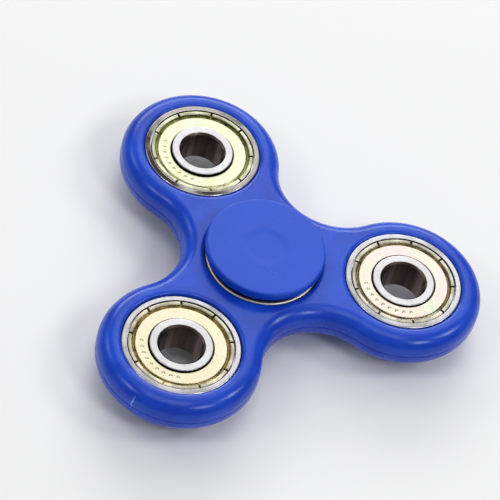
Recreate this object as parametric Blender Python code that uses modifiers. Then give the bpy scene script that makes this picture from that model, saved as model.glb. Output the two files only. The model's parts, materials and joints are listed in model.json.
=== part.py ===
"""Three-armed hand spinner.

A moulded frame turns on a capped ball bearing at its centre, and holds one more ball bearing in each
of its three arms. All sizes are in metres and +Z is the spin axis. The origin is on the spin axis,
half way through the frame. Every bearing is built from its separate pieces: two rings, two shields,
two cage halves and seven balls.
"""
import math

import bmesh
import bpy

# Layout
ARM_COUNT = 3
FIRST_ARM_ANGLE = math.radians(90.0)
ARM_REACH = 0.02645         # from the spin axis to the axis of the bearing in an arm
RUN_GAP = 0.0001            # gap kept between solids that touch or run on each other
RING_STEPS = 24             # facets round a bearing and round a bore
CAP_STEPS = 32              # facets round a cap

# Depth to which each bearing is pressed in below the frame's middle plane
CENTRE_SEAT_DROP = 0.0003
ARM_SEAT_DROPS = (0.0, 0.0004, 0.0)

# Ball bearing with an 8 mm bore, 22 mm outside diameter and 7 mm width
BEARING_R = 0.011
BORE_R = 0.004
HALF_WIDTH = 0.0035
OUTER_CHAMFER = 0.0003
INNER_CHAMFER = 0.00035
PITCH_R = (BEARING_R + BORE_R) / 2
BALL_COUNT = 7
BALL_R = 0.001984           # 5/32 inch balls
RACEWAY_R = 0.00215         # radius of the groove's section, a little over the ball's
INNER_LAND_R = 0.006
OUTER_LAND_R = 0.009
RECESS_R = 0.0099           # recess in the outer ring that holds a shield's rim
RECESS_DEPTH = 0.00095
RACEWAY_SEGMENTS = 4

# Pressed sheet shields
SHEET = 0.0003
SHIELD_SINK = 0.0003        # how far a shield's face lies below the faces of the rings
SHIELD_BORE_R = INNER_LAND_R + 0.00015
SHIELD_RIM_R = RECESS_R - RUN_GAP

# Pressed ribbon cages
CAGE_HALF_BREADTH = 0.00075
POCKET_R = 0.00235
CAGE_STEPS_PER_BALL = 6

# Moulded frame
FRAME_HALF_THICKNESS = 0.0036
LOBE_R = 0.01512            # outside radius of an arm's round end
WAIST_R = 0.0149            # from the spin axis to the hollow between two arms
EDGE_ROUND = 0.0029         # radius of the rounded outer edge
BORE_WALL_R = BEARING_R + RUN_GAP / 2
FLARE_WIDTH = 0.0009        # rounded lead-in at both ends of a bore
FLARE_DEPTH = 0.0004
FLARE_SEGMENTS = 3
LOBE_SEGMENTS = 24
WAIST_SEGMENTS = 8

# Finger caps, measured from the middle of the centre bearing
CAP_R = 0.01115
CAP_BOTTOM = 0.005
CAP_TOP = 0.00683
CAP_ROUND = 0.0005
CAP_ROUND_SEGMENTS = 3
DISH_R = 0.0048
DISH_SLOPE = 0.0006
DISH_DEPTH = 0.00015
SHOULDER_R = 0.0054         # boss that bears on the inner ring only
POST_R = BORE_R - RUN_GAP
POST_CHAMFER = 0.0003
POST_END = 0.0004
POST_CORE_R = 0.0018
POST_CORE_TOP = 0.0042


def clear_scene():
    """Remove every object, so that the scene holds only this model."""
    for leftover in list(bpy.data.objects):
        bpy.data.objects.remove(leftover, do_unlink=True)


def new_collection(name):
    """Collection of the given name in the current scene."""
    collection = bpy.data.collections.new(name)
    bpy.context.scene.collection.children.link(collection)
    return collection


def principled(name, colour, metallic, roughness):
    """Material with one Principled BSDF."""
    material = bpy.data.materials.new(name)
    material.use_nodes = True
    shader = material.node_tree.nodes["Principled BSDF"]
    shader.inputs["Base Color"].default_value = (*colour, 1.0)
    shader.inputs["Metallic"].default_value = metallic
    shader.inputs["Roughness"].default_value = roughness
    return material


def frame_material():
    """Glossy blue plastic of the moulded frame."""
    return principled("frame_plastic", (0.010, 0.050, 0.560), 0.0, 0.30)


def cap_material():
    """Satin blue plastic of the finger caps."""
    return principled("cap_plastic", (0.012, 0.060, 0.600), 0.0, 0.38)


def ring_material():
    """Ground steel of the bearing rings."""
    return principled("ring_steel", (0.78, 0.78, 0.76), 1.0, 0.22)


def ball_material():
    """Polished steel of the balls."""
    return principled("ball_steel", (0.85, 0.85, 0.85), 1.0, 0.08)


def shield_material():
    """Yellow zinc plating on the shields."""
    return principled("shield_plate", (0.80, 0.72, 0.42), 1.0, 0.30)


def cage_material():
    """Bare pressed steel of the cages."""
    return principled("cage_steel", (0.60, 0.59, 0.57), 1.0, 0.40)


def add_object(name, data, collection, parent=None, location=(0.0, 0.0, 0.0), flipped=False):
    """Place an object. A flipped one is turned half a turn about X, to face down."""
    placed = bpy.data.objects.new(name, data)
    collection.objects.link(placed)
    placed.parent = parent
    placed.location = location
    placed.rotation_euler.x = math.pi if flipped else 0.0
    return placed


def arc(centre, radius, start, end, segments, half_height=None):
    """Points from start to end along a circle, or along an ellipse of the given half height."""
    height = radius if half_height is None else half_height
    angles = [start + (end - start) * step / segments for step in range(segments + 1)]
    return [(centre[0] + radius * math.cos(a), centre[1] + height * math.sin(a)) for a in angles]


def mirrored_down(upper_half):
    """Upper half of a section, followed by its mirror image below the plane Z = 0."""
    lower_half = [(radius, -height) for radius, height in reversed(upper_half)]
    return upper_half + lower_half


def finished_mesh(source, material):
    """Turn an object's evaluated shape into a welded, smooth-shaded mesh, and remove the object."""
    bpy.context.view_layer.update()
    depsgraph = bpy.context.evaluated_depsgraph_get()
    mesh = bpy.data.meshes.new_from_object(source.evaluated_get(depsgraph))
    mesh.name = source.name
    bpy.data.objects.remove(source, do_unlink=True)
    weld = bmesh.new()
    weld.from_mesh(mesh)
    bmesh.ops.remove_doubles(weld, verts=weld.verts, dist=0.000001)
    weld.to_mesh(mesh)
    weld.free()
    mesh.materials.clear()
    mesh.materials.append(material)
    mesh.shade_smooth()
    mesh.set_sharp_from_angle(angle=math.radians(40.0))
    return mesh


def turned_mesh(name, section, steps, material, collection, is_ring):
    """Mesh turned about Z from a half section, whose points run down its outer side.

    A ring's section is a closed loop. Any other section starts and ends on the axis.
    """
    profile = bmesh.new()
    verts = [profile.verts.new((radius, 0.0, height)) for radius, height in section]
    for first, second in zip(verts, verts[1:]):
        profile.edges.new((first, second))
    if is_ring:
        profile.edges.new((verts[-1], verts[0]))
    mesh = bpy.data.meshes.new(name + "_section")
    profile.to_mesh(mesh)
    profile.free()
    blank = add_object(name, mesh, collection)
    screw = blank.modifiers.new("Turn", "SCREW")
    screw.axis = "Z"
    screw.angle = 2 * math.pi
    screw.steps = steps
    screw.render_steps = steps
    screw.use_merge_vertices = True
    screw.merge_threshold = 0.000001
    return finished_mesh(blank, material)


def outer_ring_mesh(material, collection):
    """Outer ring with chamfered edges, a recess at each face for a shield, and a ball groove inside."""
    outside_r = BEARING_R - RUN_GAP / 2
    shoulder = HALF_WIDTH - RECESS_DEPTH
    groove_half_angle = math.acos((OUTER_LAND_R - PITCH_R) / RACEWAY_R)
    groove = arc((PITCH_R, 0.0), RACEWAY_R, -groove_half_angle, groove_half_angle, RACEWAY_SEGMENTS)
    outside = mirrored_down([
        (outside_r - OUTER_CHAMFER, HALF_WIDTH),
        (outside_r, HALF_WIDTH - OUTER_CHAMFER),
    ])
    lower_recess = [(RECESS_R, -HALF_WIDTH), (RECESS_R, -shoulder), (OUTER_LAND_R, -shoulder)]
    upper_recess = [(OUTER_LAND_R, shoulder), (RECESS_R, shoulder), (RECESS_R, HALF_WIDTH)]
    section = outside + lower_recess + groove + upper_recess
    return turned_mesh("outer_ring", section, RING_STEPS, material, collection, is_ring=True)


def inner_ring_mesh(material, collection):
    """Inner ring with a chamfered bore and a ball groove outside."""
    groove_half_angle = math.acos((PITCH_R - INNER_LAND_R) / RACEWAY_R)
    groove = arc((PITCH_R, 0.0), RACEWAY_R, math.pi - groove_half_angle,
                 math.pi + groove_half_angle, RACEWAY_SEGMENTS)
    upper_outside = [
        (INNER_LAND_R - OUTER_CHAMFER, HALF_WIDTH),
        (INNER_LAND_R, HALF_WIDTH - OUTER_CHAMFER),
    ]
    lower_outside = [(radius, -height) for radius, height in reversed(upper_outside)]
    bore = [
        (BORE_R + INNER_CHAMFER, -HALF_WIDTH),
        (BORE_R, INNER_CHAMFER - HALF_WIDTH),
        (BORE_R, HALF_WIDTH - INNER_CHAMFER),
        (BORE_R + INNER_CHAMFER, HALF_WIDTH),
    ]
    section = upper_outside + groove + lower_outside + bore
    return turned_mesh("inner_ring", section, RING_STEPS, material, collection, is_ring=True)


def shield_mesh(material, collection):
    """Sheet washer whose rim is turned down into the outer ring's recess."""
    face = HALF_WIDTH - SHIELD_SINK
    rim_foot = HALF_WIDTH - RECESS_DEPTH + RUN_GAP
    section = [
        (SHIELD_BORE_R, face),
        (SHIELD_RIM_R - SHEET, face),
        (SHIELD_RIM_R, face - SHEET),
        (SHIELD_RIM_R, rim_foot),
        (SHIELD_RIM_R - SHEET, rim_foot),
        (SHIELD_RIM_R - SHEET, face - SHEET),
        (SHIELD_BORE_R, face - SHEET),
    ]
    return turned_mesh("shield", section, RING_STEPS, material, collection, is_ring=True)


def cage_height(angle):
    """Height of a cage half's inner face: flat between the balls and arched over each of them."""
    pitch = 2 * math.pi / BALL_COUNT
    off_ball = (angle + pitch / 2) % pitch - pitch / 2
    along = PITCH_R * math.sin(abs(off_ball))
    arch = math.sqrt(max(0.0, POCKET_R ** 2 - along ** 2))
    return max(RUN_GAP / 2, arch)


def cage_mesh(material, collection):
    """Half of a ribbon cage: a flat ring, arched over each ball, thickened away from the balls."""
    steps = BALL_COUNT * CAGE_STEPS_PER_BALL
    ribbon = bmesh.new()
    edges = []
    for step in range(steps):
        angle = 2 * math.pi * step / steps
        points = []
        for radius in (PITCH_R - CAGE_HALF_BREADTH, PITCH_R + CAGE_HALF_BREADTH):
            place = (radius * math.cos(angle), radius * math.sin(angle), cage_height(angle))
            points.append(ribbon.verts.new(place))
        edges.append(points)
    for (inner, outer), (next_inner, next_outer) in zip(edges, edges[1:] + edges[:1]):
        ribbon.faces.new((inner, outer, next_outer, next_inner))
    mesh = bpy.data.meshes.new("cage_ribbon")
    ribbon.to_mesh(mesh)
    ribbon.free()
    blank = add_object("cage_half", mesh, collection)
    thicken = blank.modifiers.new("Sheet", "SOLIDIFY")
    thicken.thickness = SHEET
    thicken.offset = 1.0
    return finished_mesh(blank, material)


def ball_mesh(material):
    """Ball of the bearing."""
    sphere = bmesh.new()
    bmesh.ops.create_uvsphere(sphere, u_segments=10, v_segments=6, radius=BALL_R)
    mesh = bpy.data.meshes.new("ball")
    sphere.to_mesh(mesh)
    sphere.free()
    mesh.materials.append(material)
    mesh.shade_smooth()
    return mesh


def bearing_meshes(collection):
    """The meshes that all four bearings share."""
    ring = ring_material()
    return {
        "outer_ring": outer_ring_mesh(ring, collection),
        "inner_ring": inner_ring_mesh(ring, collection),
        "shield": shield_mesh(shield_material(), collection),
        "cage": cage_mesh(cage_material(), collection),
        "ball": ball_mesh(ball_material()),
    }


def add_bearing(prefix, centre, meshes, collection):
    """Place the pieces of one bearing round its centre, and return its parent empty."""
    hub = add_object(prefix + "_bearing", None, collection, location=centre)
    for piece in ("outer_ring", "inner_ring"):
        add_object(f"{prefix}_{piece}", meshes[piece], collection, hub)
    for piece in ("shield", "cage"):
        add_object(f"{prefix}_upper_{piece}", meshes[piece], collection, hub)
        add_object(f"{prefix}_lower_{piece}", meshes[piece], collection, hub, flipped=True)
    for index in range(BALL_COUNT):
        angle = 2 * math.pi * index / BALL_COUNT
        place = (PITCH_R * math.cos(angle), PITCH_R * math.sin(angle), 0.0)
        add_object(f"{prefix}_ball_{index + 1}", meshes["ball"], collection, hub, place)
    return hub


def cap_mesh(material, collection):
    """Finger cap: a disc with a shallow dish, a boss that bears on the inner ring, and a cored post."""
    rounded_edge = arc((CAP_R - CAP_ROUND, CAP_TOP - CAP_ROUND), CAP_ROUND, math.pi / 2, 0.0,
                       CAP_ROUND_SEGMENTS)
    boss_foot = HALF_WIDTH + RUN_GAP
    section = [
        (0.0, CAP_TOP - DISH_DEPTH),
        (DISH_R - DISH_SLOPE, CAP_TOP - DISH_DEPTH),
        (DISH_R, CAP_TOP),
        *rounded_edge,
        (CAP_R, CAP_BOTTOM + CAP_ROUND / 2),
        (CAP_R - CAP_ROUND / 2, CAP_BOTTOM),
        (SHOULDER_R, CAP_BOTTOM),
        (SHOULDER_R, boss_foot),
        (POST_R, boss_foot),
        (POST_R, POST_END + POST_CHAMFER),
        (POST_R - POST_CHAMFER, POST_END),
        (POST_CORE_R, POST_END),
        (POST_CORE_R, POST_CORE_TOP),
        (0.0, POST_CORE_TOP),
    ]
    return turned_mesh("cap", section, CAP_STEPS, material, collection, is_ring=False)


def add_caps(hub, collection):
    """The two equal finger caps, pressed into the centre bearing from above and from below."""
    mesh = cap_mesh(cap_material(), collection)
    add_object("upper_cap", mesh, collection, hub)
    add_object("lower_cap", mesh, collection, hub, flipped=True)


def arm_angle(index):
    """Direction of an arm."""
    return FIRST_ARM_ANGLE + 2 * math.pi * index / ARM_COUNT


def arm_centre(index):
    """Centre of an arm's round end, in plan."""
    return (ARM_REACH * math.cos(arm_angle(index)), ARM_REACH * math.sin(arm_angle(index)))


def frame_outline():
    """Plan of the frame: a round lobe at each arm, joined to the next by a hollow arc tangent to both."""
    lobe_excess = LOBE_R - WAIST_R
    hollow_reach = (ARM_REACH ** 2 - lobe_excess ** 2) / (ARM_REACH + 2 * lobe_excess)
    hollow_r = hollow_reach - WAIST_R
    half_step = math.pi / ARM_COUNT
    across = hollow_reach * math.sin(half_step)
    along = hollow_reach * math.cos(half_step) - ARM_REACH
    lobe_half_angle = math.atan2(across, along)
    hollow_half_angle = lobe_half_angle - half_step
    points = []
    for index in range(ARM_COUNT):
        angle = arm_angle(index)
        lobe = arc(arm_centre(index), LOBE_R, angle - lobe_half_angle, angle + lobe_half_angle,
                   LOBE_SEGMENTS)
        between = angle + half_step
        hollow_centre = (hollow_reach * math.cos(between), hollow_reach * math.sin(between))
        hollow = arc(hollow_centre, hollow_r, between + math.pi + hollow_half_angle,
                     between + math.pi - hollow_half_angle, WAIST_SEGMENTS)
        points += lobe + hollow[1:-1]
    return points


def frame_blank(collection, material):
    """Frame without its bores: the outline, thickened, with a rounded outer edge."""
    outline = bpy.data.curves.new("frame_outline", "CURVE")
    outline.dimensions = "2D"
    outline.fill_mode = "BOTH"
    outline.extrude = FRAME_HALF_THICKNESS - EDGE_ROUND
    outline.bevel_depth = EDGE_ROUND
    outline.bevel_resolution = 2
    outline.offset = -EDGE_ROUND
    points = frame_outline()
    spline = outline.splines.new("POLY")
    spline.points.add(len(points) - 1)
    for point, (x, y) in zip(spline.points, points):
        point.co = (x, y, 0.0, 1.0)
    spline.use_cyclic_u = True
    return finished_mesh(add_object("frame_blank", outline, collection), material)


def bore_cutter_mesh(material, collection):
    """Turned cutter for a bearing's bore, flared at both ends for the rounded lead-ins."""
    flare_r = BORE_WALL_R + FLARE_WIDTH
    beyond = FRAME_HALF_THICKNESS + FLARE_DEPTH
    flare_foot = FRAME_HALF_THICKNESS - FLARE_DEPTH
    flare = arc((flare_r, flare_foot), FLARE_WIDTH, math.pi / 2, math.pi, FLARE_SEGMENTS, FLARE_DEPTH)
    upper_half = [(0.0, beyond), (flare_r, beyond), *flare]
    section = mirrored_down(upper_half)
    return turned_mesh("bore_cutter", section, RING_STEPS, material, collection, is_ring=False)


def add_frame(collection, cutters):
    """The moulded frame, bored for the centre bearing and for one bearing in each arm."""
    material = frame_material()
    frame = add_object("frame", frame_blank(collection, material), collection)
    cutter_mesh = bore_cutter_mesh(material, cutters)
    bores = {"centre": (0.0, 0.0)}
    for index in range(ARM_COUNT):
        bores[f"arm_{index + 1}"] = arm_centre(index)
    for prefix, (x, y) in bores.items():
        cutter = add_object(prefix + "_bore_cutter", cutter_mesh, cutters, location=(x, y, 0.0))
        cutter.hide_render = True
        cutter.display_type = "WIRE"
        bore = frame.modifiers.new(prefix + "_bore", "BOOLEAN")
        bore.operation = "DIFFERENCE"
        bore.solver = "EXACT"
        bore.object = cutter
    return frame


def main():
    """Build the whole spinner."""
    clear_scene()
    spinner = new_collection("hand_spinner")
    cutters = new_collection("cutters")
    add_frame(spinner, cutters)
    meshes = bearing_meshes(spinner)
    centre_hub = add_bearing("centre", (0.0, 0.0, -CENTRE_SEAT_DROP), meshes, spinner)
    add_caps(centre_hub, spinner)
    for index in range(ARM_COUNT):
        place = (*arm_centre(index), -ARM_SEAT_DROPS[index])
        add_bearing(f"arm_{index + 1}", place, meshes, spinner)


main()
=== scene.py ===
"""Looks of a three-armed hand spinner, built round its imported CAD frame.

Lengths are metres in the CAD's own frame: +Z is the spin axis, and the origin is on it, half way
through the moulded frame. Every piece is a finer form of the CAD node that it replaces, at the
place and size of that node's box. Sections are lists of (radius, height) points.
"""
import json
import math

import bmesh
import bpy
from mathutils import Euler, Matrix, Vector
from mathutils.geometry import delaunay_2d_cdt


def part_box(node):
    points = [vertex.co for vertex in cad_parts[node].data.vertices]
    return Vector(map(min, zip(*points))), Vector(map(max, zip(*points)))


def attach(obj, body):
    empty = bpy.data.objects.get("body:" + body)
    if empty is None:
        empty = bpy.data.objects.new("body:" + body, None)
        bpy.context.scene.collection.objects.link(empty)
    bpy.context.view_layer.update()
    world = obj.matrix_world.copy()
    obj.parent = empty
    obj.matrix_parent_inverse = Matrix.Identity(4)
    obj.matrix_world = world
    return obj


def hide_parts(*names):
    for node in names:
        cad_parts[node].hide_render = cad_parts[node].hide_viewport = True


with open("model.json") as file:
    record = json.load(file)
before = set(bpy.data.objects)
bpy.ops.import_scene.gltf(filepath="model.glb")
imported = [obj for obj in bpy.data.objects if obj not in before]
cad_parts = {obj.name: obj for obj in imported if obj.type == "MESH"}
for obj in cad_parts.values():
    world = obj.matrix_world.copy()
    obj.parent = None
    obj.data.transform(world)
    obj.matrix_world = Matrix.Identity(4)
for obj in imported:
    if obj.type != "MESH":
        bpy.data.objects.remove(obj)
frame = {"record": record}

MM = 0.001
BODY_OF = {node: body for body, nodes in frame["record"]["behaviour"]["bodies"].items() for node in nodes}
BEARINGS = ("centre", "arm_1", "arm_2", "arm_3")

# Studio. Turns, azimuths and elevations are in degrees
CAMERA_PLACE = (-0.23071, -0.28517, 0.44675)
CAMERA_TURN = (38.4964, -10.3334, -25.8482)
CAMERA_LENS = 225.3         # millimetres, as is the sensor
CAMERA_SENSOR = 36.0
CAMERA_CLIP = (0.01, 50.0)
FLOOR_HALF_SIDE = 4.0
FLOOR_GAP = 0.1 * MM        # keeps the floor from lying in the plane of the lower cap's face
WORLD_STRENGTH = 0.24
SOFTBOXES = (               # name, azimuth, elevation, size, radiance
    ("back_low_softbox", 64.0, 28.0, (0.80, 0.30), 5.0),
    ("back_key_softbox", 51.0, 50.0, (0.46, 0.34), 1.95),
    ("back_left_softbox", 120.0, 40.0, (0.30, 0.30), 2.4),
    ("back_right_softbox", 20.0, 45.0, (0.30, 0.30), 1.1),
    ("left_softbox", 175.0, 46.0, (0.22, 0.22), 6.0),
    ("right_softbox", 285.0, 48.0, (0.22, 0.22), 10.0),
    ("far_right_softbox", 330.0, 46.0, (0.24, 0.24), 8.5),
    ("top_softbox", 51.0, 74.0, (0.50, 0.40), 0.65),
    ("overhead_softbox", 231.0, 82.0, (0.50, 0.50), 1.9),
)

# Short pale scratch on the rim of arm 2
SCRATCH_PLACE = (-0.0358, -0.0209, 0.00135)
SCRATCH_ACROSS = (0.51, -0.86, 0.0)
SCRATCH_WIDTH = 0.16 * MM
SCRATCH_WANDER = 0.15 * MM
SCRATCH_REACH = (0.5 * MM, 1.5 * MM)
SCRATCH_COLOUR = (0.30, 0.42, 0.86)
SCRATCH_DULLNESS = 0.3

# Patch of oil film on the upper shield of arm 3, placed from the bearing's own middle
FILM_XY = (0.0019, -0.0070)
FILM_REACH = (0.1 * MM, 2.3 * MM)
FILM_COLOUR = (0.46, 0.55, 0.41)

# Fineness of the turned meshes
TURN_STEPS = 160
SUPPORT = 0.05 * MM         # loop beside a rounding, which keeps a flat face's shading flat
ROUND_SEGMENTS = 5
MERGE_DISTANCE = 1e-7
SHARP_ANGLE = math.radians(38.0)

# Bearing details that the CAD solids leave plain
BORE_R = 4.0 * MM
BORE_CHAMFER = 0.44 * MM
RING_EDGE = {"centre": 0.70 * MM, "arm_1": 0.26 * MM, "arm_2": 0.26 * MM, "arm_3": 0.26 * MM}
RECESS_EDGE = 0.10 * MM
LAND_R = {"inner": 5.86 * MM, "outer": 9.0 * MM}
INNER_EDGE = 0.22 * MM
RACEWAY_R = 2.15 * MM
RACEWAY_SEGMENTS = 20
RECESS_R = 9.9 * MM
RECESS_DEPTH = 0.95 * MM
BALLS = 7
BALL_SEGMENTS = 24
BALL_STEPS = 48

# Ribbon cage
CAGE_HALF_BREADTH = 0.75 * MM
CAGE_EDGE = 0.05 * MM
CAGE_HALF_GAP = 0.05 * MM   # from a land to the plane where the two halves meet
CAGE_STEPS_PER_BALL = 30
POCKET_R = 2.35 * MM

# Shield: flat washer, valley, and a rim crimped into the outer ring between nine slots
SHIELD_SINK = {"centre": 0.33 * MM, "arm_1": 0.52 * MM, "arm_2": 0.36 * MM, "arm_3": 0.26 * MM}
SHIELD_BORE_R = 6.03 * MM
SHEET = 0.3 * MM
THIN_SHEET = 0.2 * MM
FLAT_R = 8.42 * MM
FLAT_BEND = 0.13 * MM
VALLEY_SINK = 0.74 * MM
VALLEY_R = (8.50 * MM, 8.80 * MM)
CRIMP_R = (9.00 * MM, 9.66 * MM)
CRIMP_SINK = 0.14 * MM
RIM_R = 9.74 * MM
SLOTS = 9
SLOT_HALF_WIDTH = 0.18 * MM
SLOT_DEPTH = 0.50 * MM
SLOT_SOFTNESS = 0.03 * MM
SLOT_PHASE = {"centre": 0.0, "arm_1": 14.0, "arm_2": 25.0, "arm_3": 13.5}      # degrees
SLOT_STEP = 0.04 * MM
SLOT_HALF_STEPS = 6
SHIELD_STEP = 2.0           # degrees between the even steps round a shield

# Stamped row on the upper shields of the arms: an arc of plain round dimples
DIMPLES = 9
DIMPLE_PITCH = math.radians(11.0)
DIMPLE_MIDDLE = {"arm_1": 185.5, "arm_2": 196.5, "arm_3": 210.0}     # degrees
DIMPLE_ROW_R = 7.22 * MM
DIMPLE_R = 0.24 * MM
DIMPLE_DEPTH = 0.08 * MM
DIMPLE_SOFTNESS = 0.14 * MM
DIMPLE_STEP = 0.05 * MM
BAND_HALF_BREADTH = 0.65 * MM       # finely meshed band that holds the row
BAND_HALF_ROWS = 7

# Moulded frame
LOBE_STEPS = 72
WAIST_STEPS = 36
EDGE_ROUND = 2.9 * MM
EDGE_SEGMENTS = 12
FLARE_WIDTH = 0.80 * MM
FLARE_DEPTH = 0.4 * MM
FLARE_SEGMENTS = 8
FLARE_SUPPORT = 0.02 * MM
BORE_GAP = 0.12 * MM
WAIST_INSET = 0.22 * MM
PARTING_DEPTH = 0.10 * MM
PARTING_HALF_WIDTH = 0.10 * MM

# Finger caps
CAP_ROUND = 0.38 * MM
CAP_LOWER_ROUND = 0.25 * MM
CAP_DISC = 1.83 * MM
DISH_R = (2.9 * MM, 4.6 * MM)
DISH_DEPTH = 0.07 * MM
DISH_STEPS = 14
SHOULDER_R = 5.4 * MM
POST_R = 3.9 * MM
POST_CORE_R = 1.8 * MM
POST_CORE_TOP = 4.2 * MM
POST_END = 0.4 * MM


# ---------------------------------------------------------------- geometry helpers

def on_circle(radius, angle, height=0.0):
    """Point at an angle round the Z axis."""
    return (radius * math.cos(angle), radius * math.sin(angle), height)


def arc(centre, radius, start, end, segments, height_radius=None):
    """Section points along part of a circle, or of an ellipse."""
    tall = radius if height_radius is None else height_radius
    angles = [start + (end - start) * k / segments for k in range(segments + 1)]
    return [(centre[0] + radius * math.cos(a), centre[1] + tall * math.sin(a)) for a in angles]


def rounded(corners):
    """Open section through corners (radius, height, rounding), rounded off and given support loops."""
    points = []
    count = len(corners)
    for k, (x, y, rounding) in enumerate(corners):
        here = Vector((x, y))
        if rounding <= 0.0 or k in (0, count - 1):
            points.append(here)
            continue
        before = Vector(corners[k - 1][:2]) - here
        after = Vector(corners[k + 1][:2]) - here
        u = before.normalized()
        v = after.normalized()
        half = math.acos(max(-1.0, min(1.0, u.dot(v)))) / 2
        reach = rounding / math.tan(half)
        middle = here + (u + v).normalized() * (rounding / math.sin(half))
        first = here + u * reach - middle
        turn = first.angle_signed(here + v * reach - middle)
        if before.length > reach + 3 * SUPPORT:
            points.append(here + u * (reach + SUPPORT))
        for step in range(ROUND_SEGMENTS + 1):
            angle = -turn * step / ROUND_SEGMENTS
            spun = Vector((first.x * math.cos(angle) - first.y * math.sin(angle),
                           first.x * math.sin(angle) + first.y * math.cos(angle)))
            points.append(middle + spun)
        if after.length > reach + 3 * SUPPORT:
            points.append(here + v * (reach + SUPPORT))
    return [(p.x, p.y) for p in points]


def mirrored(upper):
    """Upper half of a section followed by its mirror image, which makes the whole loop."""
    return upper + [(r, -z) for r, z in reversed(upper)]


def mesh_object(name, verts, faces):
    """Smooth-shaded object from points and faces, with hard edges kept sharp."""
    mesh = bpy.data.meshes.new(name)
    mesh.from_pydata(verts, [], faces)
    tidy = bmesh.new()
    tidy.from_mesh(mesh)
    bmesh.ops.remove_doubles(tidy, verts=tidy.verts, dist=MERGE_DISTANCE)
    bmesh.ops.recalc_face_normals(tidy, faces=tidy.faces)
    tidy.to_mesh(mesh)
    tidy.free()
    mesh.shade_smooth()
    mesh.set_sharp_from_angle(angle=SHARP_ANGLE)
    piece = bpy.data.objects.new(name, mesh)
    bpy.context.scene.collection.objects.link(piece)
    return piece


def lofted_ring(name, sections, angles):
    """Closed ring through one section, a closed loop of (radius, height), at each angle."""
    size = len(sections[0])
    verts = [on_circle(r, a, z) for a, section in zip(angles, sections) for r, z in section]
    faces = []
    for t in range(len(angles)):
        here = t * size
        there = ((t + 1) % len(angles)) * size
        for s in range(size):
            nxt = (s + 1) % size
            faces.append((here + s, here + nxt, there + nxt, there + s))
    return mesh_object(name, verts, faces)


def turned_ring(name, section, steps=TURN_STEPS):
    """Ring of one section all the way round."""
    angles = [2 * math.pi * k / steps for k in range(steps)]
    return lofted_ring(name, [section] * steps, angles)


def turned_solid(name, section, steps=TURN_STEPS):
    """Solid turned from an open section that starts and ends on the axis."""
    top, *rim, bottom = section
    size = len(rim)
    verts = [on_circle(r, 2 * math.pi * t / steps, z) for t in range(steps) for r, z in rim]
    verts += [(0.0, 0.0, top[1]), (0.0, 0.0, bottom[1])]
    faces = []
    for t in range(steps):
        here = t * size
        there = ((t + 1) % steps) * size
        faces.append((len(verts) - 2, here, there))
        faces.append((len(verts) - 1, there + size - 1, here + size - 1))
        for s in range(size - 1):
            faces.append((here + s, here + s + 1, there + s + 1, there + s))
    return mesh_object(name, verts, faces)


def stand_in(piece, *nodes, at=None, flipped=False, material=None):
    """Place a piece at its CAD node, hide the node, and give the piece its body and material."""
    if at is not None:
        piece.location = at
    if flipped:
        piece.rotation_euler = Euler((math.pi, 0.0, 0.0))
    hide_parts(*nodes)
    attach(piece, BODY_OF[nodes[0]])
    piece.data.materials.clear()
    piece.data.materials.append(material)
    return piece


def centre_of(node):
    """Middle of a CAD node's box."""
    low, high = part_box(node)
    return (low + high) / 2


def half_size(node):
    """Half the sides of a CAD node's box."""
    low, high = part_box(node)
    return (high - low) / 2


# ---------------------------------------------------------------- material helpers

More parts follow.
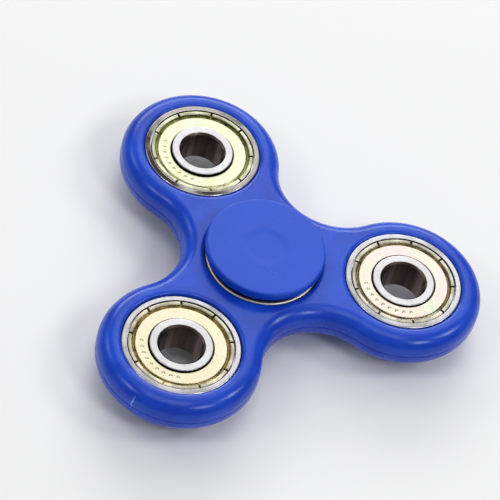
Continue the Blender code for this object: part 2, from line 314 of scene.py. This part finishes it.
class Shader:
    """Small helper for wiring one material's nodes."""

    def __init__(self, name):
        self.material = bpy.data.materials.new(name)
        self.material.use_nodes = True
        self.tree = self.material.node_tree
        self.bsdf = self.tree.nodes["Principled BSDF"]
        self.place = self.node("ShaderNodeTexCoord").outputs["Object"]

    def node(self, kind, **settings):
        made = self.tree.nodes.new(kind)
        for key, value in settings.items():
            setattr(made, key, value)
        return made

    def link(self, source, target):
        self.tree.links.new(source, target)

    def put(self, node, values):
        """Set or wire a node's inputs by name."""
        for key, value in values.items():
            if isinstance(value, bpy.types.NodeSocket):
                self.link(value, node.inputs[key])
            else:
                node.inputs[key].default_value = value
        return node

    def noise(self, scale, detail=2.0, roughness=0.5, vector=None, distortion=0.0):
        """Noise of that many features to the metre."""
        made = self.node("ShaderNodeTexNoise")
        self.put(made, {"Vector": vector or self.place, "Scale": scale, "Detail": detail,
                        "Roughness": roughness, "Distortion": distortion})
        return made.outputs["Fac"]

    def maths(self, operation, a, b=0.0):
        made = self.node("ShaderNodeMath", operation=operation)
        for socket, value in zip(made.inputs, (a, b)):
            if isinstance(value, bpy.types.NodeSocket):
                self.link(value, socket)
            else:
                socket.default_value = value
        return made.outputs[0]

    def ramp(self, value, stops):
        """Colour ramp through (position, colour) stops."""
        made = self.node("ShaderNodeValToRGB")
        elements = made.color_ramp.elements
        while len(elements) < len(stops):
            elements.new(0.5)
        for element, (position, colour) in zip(elements, stops):
            element.position = position
            element.color = (*colour, 1.0)
        self.link(value, made.inputs["Fac"])
        return made.outputs["Color"]

    def spread(self, value, low, high, from_low=0.3, from_high=0.7):
        """Map a noise value to the range low to high."""
        made = self.node("ShaderNodeMapRange")
        self.put(made, {"Value": value, "From Min": from_low, "From Max": from_high,
                        "To Min": low, "To Max": high})
        return made.outputs["Result"]

    def radius(self):
        """Distance from the object's own Z axis."""
        flat = self.node("ShaderNodeVectorMath", operation="MULTIPLY")
        self.link(self.place, flat.inputs[0])
        flat.inputs[1].default_value = (1.0, 1.0, 0.0)
        length = self.node("ShaderNodeVectorMath", operation="LENGTH")
        self.link(flat.outputs["Vector"], length.inputs[0])
        return length.outputs["Value"]

    def turned_grain(self, lines_per_metre):
        """Noise that runs in fine circles round the object's axis, as turning and grinding leave."""
        made = self.node("ShaderNodeTexNoise", noise_dimensions="1D")
        self.put(made, {"W": self.radius(), "Scale": lines_per_metre, "Detail": 2.0, "Roughness": 0.6})
        return made.outputs["Fac"]

    def stretched(self, scale):
        """Object coordinates scaled by axis, which stretches a noise along the axes of small scale."""
        made = self.node("ShaderNodeVectorMath", operation="MULTIPLY")
        self.link(self.place, made.inputs[0])
        made.inputs[1].default_value = scale
        return made.outputs["Vector"]

    def mix(self, factor, first, second):
        """First colour where the factor is 0, second where it is 1."""
        made = self.node("ShaderNodeMix", data_type="RGBA")
        for index, value in ((0, factor), (6, first), (7, second)):
            if isinstance(value, tuple):
                made.inputs[index].default_value = (*value, 1.0)
            else:
                self.link(value, made.inputs[index])
        return made.outputs[2]

    def height(self):
        """Distance from the object's own middle plane."""
        split = self.node("ShaderNodeSeparateXYZ")
        self.link(self.place, split.inputs[0])
        return self.maths("ABSOLUTE", split.outputs["Z"])

    def along(self, direction, start):
        """Signed distance from the start, measured along the direction."""
        made = self.node("ShaderNodeVectorMath", operation="DOT_PRODUCT")
        self.link(self.place, made.inputs[0])
        made.inputs[1].default_value = direction
        return self.maths("SUBTRACT", made.outputs["Value"], Vector(start).dot(direction))

    def near(self, point, full, none):
        """1 within the first distance of the point, falling to 0 at the second."""
        made = self.node("ShaderNodeVectorMath", operation="DISTANCE")
        self.link(self.place, made.inputs[0])
        made.inputs[1].default_value = point
        return self.spread(made.outputs["Value"], 1.0, 0.0, full, none)

    def turned_tangent(self):
        """Tangent that runs round the object's Z axis, for turned and brushed surfaces."""
        return self.node("ShaderNodeTangent", direction_type="RADIAL", axis="Z").outputs["Tangent"]

    def bump(self, height, distance, strength, below=None):
        """Normal from a height in metres, on top of the bump below it."""
        made = self.node("ShaderNodeBump")
        self.put(made, {"Height": height, "Distance": distance, "Strength": strength})
        if below is not None:
            self.link(below, made.inputs["Normal"])
        return made.outputs["Normal"]

    def finish(self, **inputs):
        """Wire the Principled BSDF. Underscores stand for spaces in the input names."""
        self.put(self.bsdf, {key.replace("_", " "): value for key, value in inputs.items()})
        return self.material


def blue_plastic(name, deep, light, rough_low, rough_high, scratched=False):
    """Moulded blue plastic: flow mottling, uneven gloss and a very fine orange peel."""
    s = Shader(name)
    flow = s.noise(120.0, detail=3.0, roughness=0.55, distortion=0.8)
    colour = s.ramp(flow, [(0.30, deep), (0.72, light)])
    gloss = s.noise(160.0, detail=4.0, roughness=0.6)
    rough = s.spread(gloss, rough_low, rough_high)
    if scratched:
        wander = s.spread(s.noise(700.0), -SCRATCH_WANDER, SCRATCH_WANDER)
        away = s.maths("ABSOLUTE", s.maths("ADD", s.along(SCRATCH_ACROSS, SCRATCH_PLACE), wander))
        line = s.spread(away, 1.0, 0.0, SCRATCH_WIDTH / 4, SCRATCH_WIDTH)
        marks = s.maths("MULTIPLY", s.near(SCRATCH_PLACE, *SCRATCH_REACH), line)
        colour = s.mix(marks, colour, SCRATCH_COLOUR)
        rough = s.maths("ADD", rough, s.maths("MULTIPLY", marks, SCRATCH_DULLNESS))
    sink = s.bump(s.noise(140.0, detail=1.0), 0.0001, 0.30)
    peel = s.bump(s.noise(800.0, detail=1.0), 0.000003, 0.4, below=sink)
    return s.finish(Base_Color=colour, Roughness=rough, Normal=peel, Specular_IOR_Level=0.45,
                    Specular_Tint=(0.72, 0.88, 1.0, 1.0))


def ground_steel(name, tint_low, tint_high, rough_low, rough_high, bore_painted_shade=None, painted_edge_highlight=None,
                 smudge_scale=260.0):
    """Bearing steel with fine turned grain and smudges.

    bore_painted_shade is the colour painted in a ring's bore as painted shade, with lighter streaks of
    painted reflection, and darker still on the ring's outer wall under the shields, as painted shade.
    painted_edge_highlight is the colour of a ring's two edges, painted lighter as painted highlights.
    """
    s = Shader(name)
    grain = s.turned_grain(9000.0)
    smudge = s.noise(smudge_scale, detail=3.0)
    colour = s.ramp(smudge, [(0.42, tint_low), (0.60, tint_high)])
    if painted_edge_highlight is not None:
        # Painted highlights: the ring's two edges are painted lighter than its face
        inner = s.spread(s.radius(), 1.0, 0.0, RECESS_R + 0.06 * MM, RECESS_R + 0.14 * MM)
        outer = s.spread(s.radius(), 0.0, 1.0, ring_r - 0.20 * MM, ring_r - 0.12 * MM)
        colour = s.mix(s.maths("MAXIMUM", inner, outer), colour, painted_edge_highlight)
    if bore_painted_shade is not None:
        # Painted shade in the bore, with lighter vertical streaks as painted reflections
        reflection_streaks = s.noise(420.0, detail=3.0, vector=s.stretched((1.0, 1.0, 0.04)))
        bore_shade_colour = s.ramp(reflection_streaks, [(0.30, tuple(0.3 * c for c in bore_painted_shade)), (0.50, bore_painted_shade),
                                (0.68, tuple(3.0 * c for c in bore_painted_shade))])
        inside = s.spread(s.radius(), 1.0, 0.0, BORE_R + 0.34 * MM, BORE_R + 0.44 * MM)
        colour = s.mix(inside, colour, bore_shade_colour)
        # Painted shade on the ring's outer wall, under the shields
        outside = s.spread(s.radius(), 0.0, 1.0, LAND_R["inner"] - 0.10 * MM, LAND_R["inner"] - 0.02 * MM)
        colour = s.mix(outside, colour, tuple(0.3 * c for c in bore_painted_shade))
    both = s.maths("ADD", s.maths("MULTIPLY", grain, 0.6), s.maths("MULTIPLY", smudge, 0.4))
    rough = s.spread(both, rough_low, rough_high)
    normal = s.bump(grain, 0.000003, 0.4)
    return s.finish(Base_Color=colour, Metallic=1.0, Roughness=rough, Normal=normal,
                    Anisotropic=0.5, Tangent=s.turned_tangent())


def yellow_zinc(name, stops, rim_colour, valley_shade_colour, filmed=False):
    """Yellow zinc plating on pressed sheet: shifting pale gold, with fine brushed circles.

    The valley and slots beside the rim are painted darker, as painted shade in those hollows.
    """
    s = Shader(name)
    patch = s.noise(170.0, detail=2.0, roughness=0.5, distortion=0.6)
    plating = s.ramp(patch, stops)
    # Painted shade: mottled darker colour for the valley and the slots
    valley_shade_noise = s.noise(330.0, detail=3.0, distortion=0.5)
    valley = s.ramp(valley_shade_noise, [(0.36, tuple(0.18 * c for c in valley_shade_colour)), (0.50, valley_shade_colour),
                           (0.64, tuple(1.6 * c for c in valley_shade_colour))])
    # Masks for the painted shade: beyond the flat and below the rim's height
    beyond = s.spread(s.radius(), 0.0, 1.0, FLAT_R + 0.05 * MM, VALLEY_R[0] + 0.06 * MM)
    below = s.spread(s.height(), 1.0, 0.0, half_width - 0.42 * MM, half_width - 0.20 * MM)
    tarnish = s.noise(240.0, detail=2.0, distortion=0.4)
    rim = s.ramp(tarnish, [(0.34, tuple(0.45 * c for c in rim_colour)), (0.62, rim_colour)])
    plating = s.mix(s.spread(s.radius(), 0.0, 1.0, VALLEY_R[1], CRIMP_R[0]), plating, rim)
    colour = s.mix(s.maths("MULTIPLY", beyond, below), plating, valley)
    if filmed:
        colour = s.mix(s.near((*FILM_XY, half_width), *FILM_REACH), colour, FILM_COLOUR)
    grain = s.turned_grain(7000.0)
    speck = s.noise(1500.0, detail=3.0)
    both = s.maths("ADD", s.maths("MULTIPLY", grain, 0.5), s.maths("MULTIPLY", speck, 0.5))
    rough = s.spread(both, 0.22, 0.32)
    wavy = s.bump(s.noise(220.0, detail=1.0), 0.00003, 0.12)
    normal = s.bump(grain, 0.000002, 0.15, below=wavy)
    return s.finish(Base_Color=colour, Metallic=1.0, Roughness=rough, Normal=normal,
                    Anisotropic=0.3, Tangent=s.turned_tangent())


def pressed_steel(name):
    """Bare pressed steel of the cages, dull with oil stains."""
    s = Shader(name)
    stain = s.noise(500.0, detail=4.0, roughness=0.6)
    colour = s.ramp(stain, [(0.3, (0.22, 0.21, 0.19)), (0.7, (0.40, 0.39, 0.37))])
    rough = s.spread(stain, 0.45, 0.30)
    normal = s.bump(s.noise(3000.0, detail=3.0), 0.00001, 0.4)
    return s.finish(Base_Color=colour, Metallic=1.0, Roughness=rough, Normal=normal)


def floor_material():
    """Plain pale studio floor."""
    s = Shader("pale_floor")
    tone = s.noise(6.0, detail=2.0)
    colour = s.ramp(tone, [(0.0, (0.88, 0.88, 0.88)), (1.0, (0.92, 0.92, 0.92))])
    return s.finish(Base_Color=colour, Roughness=0.65)


# ---------------------------------------------------------------- bearing pieces

def outer_ring_section(outside_r, edge):
    """Outer ring: rounded edges, shield recesses and the raceway."""
    shoulder = half_width - RECESS_DEPTH
    half_angle = math.acos((LAND_R["outer"] - pitch_r) / RACEWAY_R)
    raceway = arc((pitch_r, 0.0), RACEWAY_R, -half_angle, half_angle, RACEWAY_SEGMENTS)
    corners = [
        (LAND_R["outer"], shoulder, 0.05 * MM),
        (RECESS_R, shoulder, 0.0),
        (RECESS_R, half_width, RECESS_EDGE),
        (outside_r, half_width, edge),
    ]
    upper = rounded([(LAND_R["outer"], 0.0, 0.0), *corners, (outside_r, 0.0, 0.0)])[1:-1]
    return mirrored(upper) + raceway[1:-1]


def inner_ring_section():
    """Inner ring: chamfered bore, rounded outer edge and the raceway."""
    half_angle = math.acos((pitch_r - LAND_R["inner"]) / RACEWAY_R)
    raceway = arc((pitch_r, 0.0), RACEWAY_R, math.pi - half_angle, math.pi + half_angle, RACEWAY_SEGMENTS)
    corners = [
        (BORE_R, half_width - BORE_CHAMFER, BORE_CHAMFER / 2),
        (BORE_R + BORE_CHAMFER, half_width, BORE_CHAMFER / 6),
        (LAND_R["inner"], half_width, INNER_EDGE),
    ]
    upper = rounded([(BORE_R, 0.0, 0.0), *corners, (LAND_R["inner"], 0.0, 0.0)])[1:-1]
    lower = [(r, -z) for r, z in reversed(upper)]
    return upper + raceway[1:-1] + lower


def smooth_step(value, edge, softness):
    """1 well inside an edge, 0 well outside, easing over the softness."""
    t = max(0.0, min(1.0, (edge + softness - value) / (2 * softness)))
    return t * t * (3 - 2 * t)


def dimple_depth(radius, angle, middle):
    """Depth of the stamped dimples at a point of a shield."""
    away = (angle - middle + math.pi) % (2 * math.pi) - math.pi
    nearest = round(away / DIMPLE_PITCH)
    if abs(nearest) > DIMPLES // 2:
        return 0.0
    reach = math.hypot(radius - DIMPLE_ROW_R, (away - nearest * DIMPLE_PITCH) * radius)
    return DIMPLE_DEPTH * smooth_step(reach, DIMPLE_R, DIMPLE_SOFTNESS)


def slot_depth(radius, angle, phase):
    """Depth of the nine slots in a shield's rim."""
    pitch = 2 * math.pi / SLOTS
    away = (angle - phase + pitch / 2) % pitch - pitch / 2
    return SLOT_DEPTH * smooth_step(abs(away) * radius, SLOT_HALF_WIDTH, SLOT_SOFTNESS)


def shield_face(sink):
    """Upper side of a shield's section, from bore to rim, as (radius, height from the ring's face)."""
    lip = [
        (SHIELD_BORE_R, -sink - 0.10 * MM),
        (SHIELD_BORE_R + 0.03 * MM, -sink - 0.03 * MM),
        (SHIELD_BORE_R + 0.10 * MM, -sink),
        (SHIELD_BORE_R + 0.16 * MM, -sink),
    ]
    flat = [(DIMPLE_ROW_R + (k / BAND_HALF_ROWS - 1) * BAND_HALF_BREADTH, -sink)
            for k in range(2 * BAND_HALF_ROWS + 1)]
    bend = [(FLAT_R - FLAT_BEND - SUPPORT, -sink)]
    bend += arc((FLAT_R - FLAT_BEND, -sink - FLAT_BEND), FLAT_BEND, math.pi / 2, math.pi / 16, 4)
    valley = [
        (VALLEY_R[0] - 0.03 * MM, -VALLEY_SINK + 0.08 * MM),
        (VALLEY_R[0] + 0.05 * MM, -VALLEY_SINK + 0.01 * MM),
        ((VALLEY_R[0] + VALLEY_R[1]) / 2, -VALLEY_SINK),
        (VALLEY_R[1] - 0.03 * MM, -VALLEY_SINK + 0.02 * MM),
        (VALLEY_R[1] + 0.06 * MM, -VALLEY_SINK + 0.10 * MM),
    ]
    crimp = [
        (CRIMP_R[0] - 0.03 * MM, -CRIMP_SINK - 0.08 * MM),
        (CRIMP_R[0] + 0.02 * MM, -CRIMP_SINK - 0.02 * MM),
        (CRIMP_R[0] + 0.09 * MM, -CRIMP_SINK),
        (CRIMP_R[1] - 0.08 * MM, -CRIMP_SINK),
        (CRIMP_R[1] - 0.01 * MM, -CRIMP_SINK - 0.01 * MM),
        (CRIMP_R[1] + 0.05 * MM, -CRIMP_SINK - 0.06 * MM),
        (RIM_R, -CRIMP_SINK - 0.14 * MM),
    ]
    return lip + flat + bend + valley + crimp


def shield_angles(phase, middle):
    """Angles round a shield: even steps, with finer ones at the slots and across the dimples."""
    angles = {round(math.radians(k * SHIELD_STEP), 9) for k in range(round(360 / SHIELD_STEP))}
    for k in range(SLOTS):
        for step in range(-SLOT_HALF_STEPS, SLOT_HALF_STEPS + 1):
            offset = step * SLOT_STEP / CRIMP_R[0]
            angles.add(round((phase + 2 * math.pi * k / SLOTS + offset) % (2 * math.pi), 9))
    if middle is not None:
        half = (DIMPLES / 2) * DIMPLE_PITCH
        steps = int(2 * half * DIMPLE_ROW_R / DIMPLE_STEP)
        for step in range(steps + 1):
            angles.add(round((middle - half + 2 * half * step / steps) % (2 * math.pi), 9))
    return sorted(angles)


def shield_piece(name, sink, phase, middle=None):
    """Pressed shield, whose flat lies that far below the ring's face. A middle angle adds the dimples."""
    foot = half_width - RECESS_DEPTH + 0.1 * MM
    face = shield_face(sink)
    under = [
        (RIM_R, foot),
        (RIM_R - SHEET, foot),
        (RIM_R - SHEET, half_width - VALLEY_SINK - 0.05 * MM),
        (VALLEY_R[0] - THIN_SHEET, half_width - VALLEY_SINK - THIN_SHEET),
        (VALLEY_R[0] - 2 * THIN_SHEET, half_width - sink - THIN_SHEET),
        (SHIELD_BORE_R, half_width - sink - THIN_SHEET),
    ]
    angles = shield_angles(phase, middle)
    sections = []
    for angle in angles:
        section = []
        for r, z in face:
            height = half_width + z
            if r > VALLEY_R[1]:
                height = max(half_width - VALLEY_SINK, height - slot_depth(r, angle, phase))
            elif middle is not None:
                height -= dimple_depth(r, angle, middle)
            section.append((r, height))
        sections.append(section + under)
    return lofted_ring(name, sections, angles)


def cage_piece(name):
    """Half of a ribbon cage, with a rounded pocket over each ball and a flat land between pockets."""
    steps = BALLS * CAGE_STEPS_PER_BALL
    inner, outer = pitch_r - CAGE_HALF_BREADTH, pitch_r + CAGE_HALF_BREADTH
    pitch = 2 * math.pi / BALLS
    angles = [2 * math.pi * k / steps for k in range(steps)]
    sections = []
    for angle in angles:
        off = (angle + pitch / 2) % pitch - pitch / 2
        along = pitch_r * math.sin(abs(off))
        low = max(CAGE_HALF_GAP, math.sqrt(max(0.0, POCKET_R ** 2 - along ** 2)))
        high = low + SHEET
        sections.append([
            (inner, low), (outer, low), (outer, high - CAGE_EDGE), (outer - CAGE_EDGE, high),
            (inner + CAGE_EDGE, high), (inner, high - CAGE_EDGE),
        ])
    return lofted_ring(name, sections, angles)


def ball_piece(name, radius):
    """Polished ball."""
    angles = [math.pi * k / BALL_SEGMENTS for k in range(BALL_SEGMENTS + 1)]
    section = [(radius * math.sin(a), radius * math.cos(a)) for a in angles]
    return turned_solid(name, section, steps=BALL_STEPS)


# ---------------------------------------------------------------- frame and caps

def frame_outline(inset, arm_reach, lobe_r, waist_r):
    """Plan of the frame, moved inwards by inset. Every inset gives the same number of points."""
    excess = lobe_r - waist_r
    reach = (arm_reach ** 2 - excess ** 2) / (arm_reach + 2 * excess)
    third = math.pi / 3
    across = reach * math.sin(third)
    along = reach * math.cos(third) - arm_reach
    lobe_half = math.atan2(across, along)
    hollow_half = lobe_half - third
    points = []
    for arm in range(3):
        heading = math.pi / 2 + 2 * third * arm
        middle = (arm_reach * math.cos(heading), arm_reach * math.sin(heading))
        points += arc(middle, lobe_r - inset, heading - lobe_half, heading + lobe_half, LOBE_STEPS)
        between = heading + third
        middle = (reach * math.cos(between), reach * math.sin(between))
        hollow = arc(middle, reach - waist_r + inset, between + math.pi + hollow_half,
                     between + math.pi - hollow_half, WAIST_STEPS)
        points += hollow[1:-1]
    return points


def edge_profile(half_thickness):
    """Frame's outer edge as (inset, height): rounded from the top to a wall with a parting line."""
    middle = half_thickness - EDGE_ROUND
    upper = [(EDGE_ROUND + 0.03 * MM, half_thickness)]
    for k in range(EDGE_SEGMENTS + 1):
        angle = math.pi / 2 * (1 - k / EDGE_SEGMENTS)
        upper.append((EDGE_ROUND * (1 - math.cos(angle)), middle + EDGE_ROUND * math.sin(angle)))
    upper += [
        (0.0, PARTING_HALF_WIDTH * 2.2),
        (0.0, PARTING_HALF_WIDTH * 1.2),
        (PARTING_DEPTH * 0.7, PARTING_HALF_WIDTH * 0.5),
    ]
    return upper + [(PARTING_DEPTH, 0.0)] + [(inset, -z) for inset, z in reversed(upper)]


def bore_profile(bore_r, half_thickness):
    """Bore of the frame as (radius, height): a rounded lead-in at both ends of a straight wall."""
    flare_r = bore_r + FLARE_WIDTH
    foot = half_thickness - FLARE_DEPTH
    upper = [(flare_r + FLARE_SUPPORT, half_thickness)]
    upper += arc((flare_r, foot), FLARE_WIDTH, math.pi / 2, math.pi, FLARE_SEGMENTS, FLARE_DEPTH)
    upper += [(bore_r, foot - 0.1 * MM)]
    return mirrored(upper)


def frame_piece(name):
    """The moulded frame: outer edge, four bores, and the flat top and bottom between them."""
    half_thickness = half_size("frame").z
    reach = (centre_of("arm_1_outer_ring") - centre_of("centre_outer_ring")).xy.length
    lobe_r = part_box("frame")[1].x - reach * math.cos(math.radians(30.0))
    waist_r = lobe_r - WAIST_INSET
    bore_r = half_size("arm_1_outer_ring").x + BORE_GAP
    hole_r = (bore_r + FLARE_WIDTH + FLARE_SUPPORT) * math.cos(1.5 * math.pi / TURN_STEPS)
    bands = [[[(x, y, z) for x, y in frame_outline(inset, reach, lobe_r, waist_r)]
              for inset, z in edge_profile(half_thickness)]]
    holes = []
    for bearing in BEARINGS:
        middle = centre_of(bearing + "_outer_ring")
        rows = []
        for r, z in bore_profile(bore_r, half_thickness):
            row = [on_circle(r, 2 * math.pi * k / TURN_STEPS, z) for k in range(TURN_STEPS)]
            rows.append([(x + middle.x, y + middle.y, height) for x, y, height in row])
        bands.append(rows)
        holes.append((middle.xy, hole_r))

    verts, faces, edge_loops = [], [], []
    for rows in bands:
        for row in rows:
            start = len(verts)
            verts += row
            if row is not rows[0]:
                faces += [(start - len(row) + k, start - len(row) + (k + 1) % len(row),
                           start + (k + 1) % len(row), start + k) for k in range(len(row))]
        edge_loops.append((len(verts) - len(rows) * len(row), start, len(row)))
    for side in (0, 1):
        starts = [(loop[side], loop[2]) for loop in edge_loops]
        flat = [index for start, count in starts for index in range(start, start + count)]
        edges = []
        for start, count in starts:
            first = flat.index(start)
            edges += [(first + k, first + (k + 1) % count) for k in range(count)]
        points = [Vector(verts[index][:2]) for index in flat]
        corners, _, triangles, sources, _, _ = delaunay_2d_cdt(points, edges, [], 1, 1e-9)
        for face in triangles:
            middle = sum((corners[k] for k in face), Vector((0.0, 0.0))) / len(face)
            if all((middle - hole).length > radius for hole, radius in holes):
                faces.append(tuple(flat[sources[k][0]] for k in face))
    return mesh_object(name, verts, faces)


def cap_piece(name, hub, face_height):
    """Finger cap in the hub's own frame: dished face, rounded edge, boss and cored post."""
    radius = half_size("upper_cap").x
    top = face_height - hub.z
    bottom = top - CAP_DISC
    dish = [(0.0, top - DISH_DEPTH, 0.0)]
    for step in range(DISH_STEPS + 1):
        share = step / DISH_STEPS
        rise = (1 - math.cos(math.pi * share)) / 2
        dish.append((DISH_R[0] + (DISH_R[1] - DISH_R[0]) * share, top - DISH_DEPTH * (1 - rise), 0.0))
    corners = dish + [
        (radius, top, CAP_ROUND),
        (radius, bottom, CAP_LOWER_ROUND),
        (SHOULDER_R, bottom, 0.2 * MM),
        (SHOULDER_R, half_width + 0.05 * MM, 0.05 * MM),
        (POST_R, half_width + 0.05 * MM, 0.05 * MM),
        (POST_R, POST_END, 0.3 * MM),
        (POST_CORE_R, POST_END, 0.15 * MM),
        (POST_CORE_R, POST_CORE_TOP, 0.3 * MM),
        (0.0, POST_CORE_TOP, 0.0),
    ]
    return turned_solid(name, rounded(corners))


# ---------------------------------------------------------------- assembly

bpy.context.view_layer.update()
half_width = half_size("centre_outer_ring").z
ring_r = half_size("centre_outer_ring").x
pitch_r = (centre_of("centre_ball_1") - centre_of("centre_outer_ring")).xy.length
ball_r = half_size("centre_ball_1").z

frame_blue = blue_plastic("frame_blue", deep=(0.003, 0.036, 0.45), light=(0.008, 0.070, 0.63),
                          rough_low=0.18, rough_high=0.30, scratched=True)
cap_blue = blue_plastic("cap_blue", deep=(0.003, 0.056, 0.57), light=(0.005, 0.067, 0.61),
                        rough_low=0.26, rough_high=0.36)
# The inner rings' bores carry painted shade and painted reflection streaks
inner_steel = ground_steel("ring_steel_inner", (0.40, 0.39, 0.40), (0.46, 0.46, 0.47), 0.18, 0.28,
                           bore_painted_shade=(0.17, 0.13, 0.115))
# The outer rings' two edges carry painted highlights
bright_steel = ground_steel("ring_steel_bright", (0.24, 0.24, 0.25), (0.42, 0.42, 0.44), 0.18, 0.30,
                            painted_edge_highlight=(0.60, 0.60, 0.61), smudge_scale=150.0)
# Arm 1's ring steel is painted much darker than the others as painted shade and dark reflection, on top
# of its smudges
smudged_shaded_steel = ground_steel("ring_steel_smudged_shaded", (0.026, 0.021, 0.019), (0.27, 0.25, 0.24), 0.14, 0.26,
                             painted_edge_highlight=(0.62, 0.61, 0.59), smudge_scale=110.0)
# The centre ring's steel is painted lighter and tan as painted light and reflection under the cap; its
# higher roughness is its satin finish
satin_lit_steel = ground_steel("ring_steel_satin_lit", (0.50, 0.46, 0.42), (0.60, 0.57, 0.53), 0.34, 0.44)
RING_STEEL = {"centre": satin_lit_steel, "arm_1": smudged_shaded_steel, "arm_2": bright_steel, "arm_3": bright_steel}
ball_steel = ground_steel("ball_steel_polished", (0.56, 0.56, 0.56), (0.62, 0.62, 0.62), 0.05, 0.10)
cage_steel = pressed_steel("cage_steel_pressed")
# Each zinc's valley colour is painted shade for the valley and slots
ZINC = {
    "arm_1": yellow_zinc("zinc_green_gold", [(0.25, (0.50, 0.50, 0.31)), (0.55, (0.52, 0.53, 0.37)),
                                             (0.80, (0.46, 0.53, 0.40))],
                         rim_colour=(0.50, 0.50, 0.36), valley_shade_colour=(0.20, 0.19, 0.05)),
    "arm_2": yellow_zinc("zinc_cream_gold", [(0.25, (0.54, 0.49, 0.32)), (0.55, (0.56, 0.52, 0.37)),
                                             (0.80, (0.57, 0.50, 0.39))],
                         rim_colour=(0.52, 0.48, 0.37), valley_shade_colour=(0.24, 0.17, 0.05)),
    "arm_3": yellow_zinc("zinc_rose_gold", [(0.30, (0.55, 0.47, 0.40)), (0.50, (0.56, 0.50, 0.41)),
                                            (0.70, (0.56, 0.46, 0.46))],
                         rim_colour=(0.50, 0.47, 0.39), valley_shade_colour=(0.20, 0.16, 0.07),
                         filmed=True),
}
ZINC["centre"] = ZINC["arm_2"]


def add_bearing(bearing):
    """Every piece of one bearing."""
    middle = centre_of(bearing + "_outer_ring")
    outside_r = half_size(bearing + "_outer_ring").x
    ring = turned_ring(bearing + "_outer_ring_fine", outer_ring_section(outside_r, RING_EDGE[bearing]))
    stand_in(ring, bearing + "_outer_ring", at=middle, material=RING_STEEL[bearing])
    inner = turned_ring(bearing + "_inner_ring_fine", inner_ring_section())
    stand_in(inner, bearing + "_inner_ring", at=centre_of(bearing + "_inner_ring"), material=inner_steel)
    phase = math.radians(SLOT_PHASE[bearing])
    sink = SHIELD_SINK[bearing]
    middle_dimple = math.radians(DIMPLE_MIDDLE[bearing]) if bearing in DIMPLE_MIDDLE else None
    upper = shield_piece(bearing + "_upper_shield_fine", sink, phase, middle_dimple)
    stand_in(upper, bearing + "_upper_shield", at=middle, material=ZINC[bearing])
    lower = shield_piece(bearing + "_lower_shield_fine", sink, phase)
    stand_in(lower, bearing + "_lower_shield", at=middle, flipped=True, material=ZINC[bearing])
    for side in ("upper", "lower"):
        cage = cage_piece(f"{bearing}_{side}_cage_fine")
        stand_in(cage, f"{bearing}_{side}_cage", at=middle, flipped=side == "lower", material=cage_steel)
    for k in range(1, BALLS + 1):
        node = f"{bearing}_ball_{k}"
        stand_in(ball_piece(node + "_fine", ball_r), node, at=centre_of(node), material=ball_steel)


for bearing in BEARINGS:
    add_bearing(bearing)
stand_in(frame_piece("frame_fine"), "frame", material=frame_blue)
hub = centre_of("centre_inner_ring")
cap_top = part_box("upper_cap")[1].z
stand_in(cap_piece("upper_cap_fine", hub, cap_top), "upper_cap", at=hub, material=cap_blue)
stand_in(cap_piece("lower_cap_fine", hub, cap_top), "lower_cap", at=hub, flipped=True, material=cap_blue)


# ---------------------------------------------------------------- camera, floor and lights

def add_camera():
    """Camera at the photograph's viewing angle."""
    data = bpy.data.cameras.new("camera")
    data.sensor_width = CAMERA_SENSOR
    data.lens = CAMERA_LENS
    data.clip_start, data.clip_end = CAMERA_CLIP
    camera = bpy.data.objects.new("camera", data)
    camera.location = CAMERA_PLACE
    camera.rotation_euler = Euler([math.radians(angle) for angle in CAMERA_TURN])
    bpy.context.scene.collection.objects.link(camera)
    bpy.context.scene.camera = camera


def add_floor():
    """Wide pale floor just under the lower cap."""
    half = FLOOR_HALF_SIDE
    corners = [(-half, -half, 0.0), (half, -half, 0.0), (half, half, 0.0), (-half, half, 0.0)]
    piece = mesh_object("floor", corners, [(0, 1, 2, 3)])
    piece.location.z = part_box("lower_cap")[0].z - FLOOR_GAP
    piece.data.materials.append(floor_material())


def add_softbox(name, azimuth, elevation, size, radiance):
    """Softbox aimed at the spinner from a metre away. Azimuth is measured from +X."""
    data = bpy.data.lights.new(name, "AREA")
    data.shape = "RECTANGLE"
    data.size, data.size_y = size
    data.energy = radiance * math.pi * size[0] * size[1]
    light = bpy.data.objects.new(name, data)
    az, el = math.radians(azimuth), math.radians(elevation)
    light.location = (math.cos(el) * math.cos(az), math.cos(el) * math.sin(az), math.sin(el))
    light.rotation_euler = light.location.to_track_quat("Z", "Y").to_euler()
    bpy.context.scene.collection.objects.link(light)


def add_world(strength):
    """Soft white surroundings."""
    world = bpy.data.worlds.new("studio")
    world.use_nodes = True
    background = world.node_tree.nodes["Background"]
    background.inputs["Color"].default_value = (1.0, 1.0, 1.0, 1.0)
    background.inputs["Strength"].default_value = strength
    bpy.context.scene.world = world


add_camera()
add_floor()
add_world(WORLD_STRENGTH)
for softbox in SOFTBOXES:
    add_softbox(*softbox)
bpy.context.scene.view_settings.view_transform = "Standard"
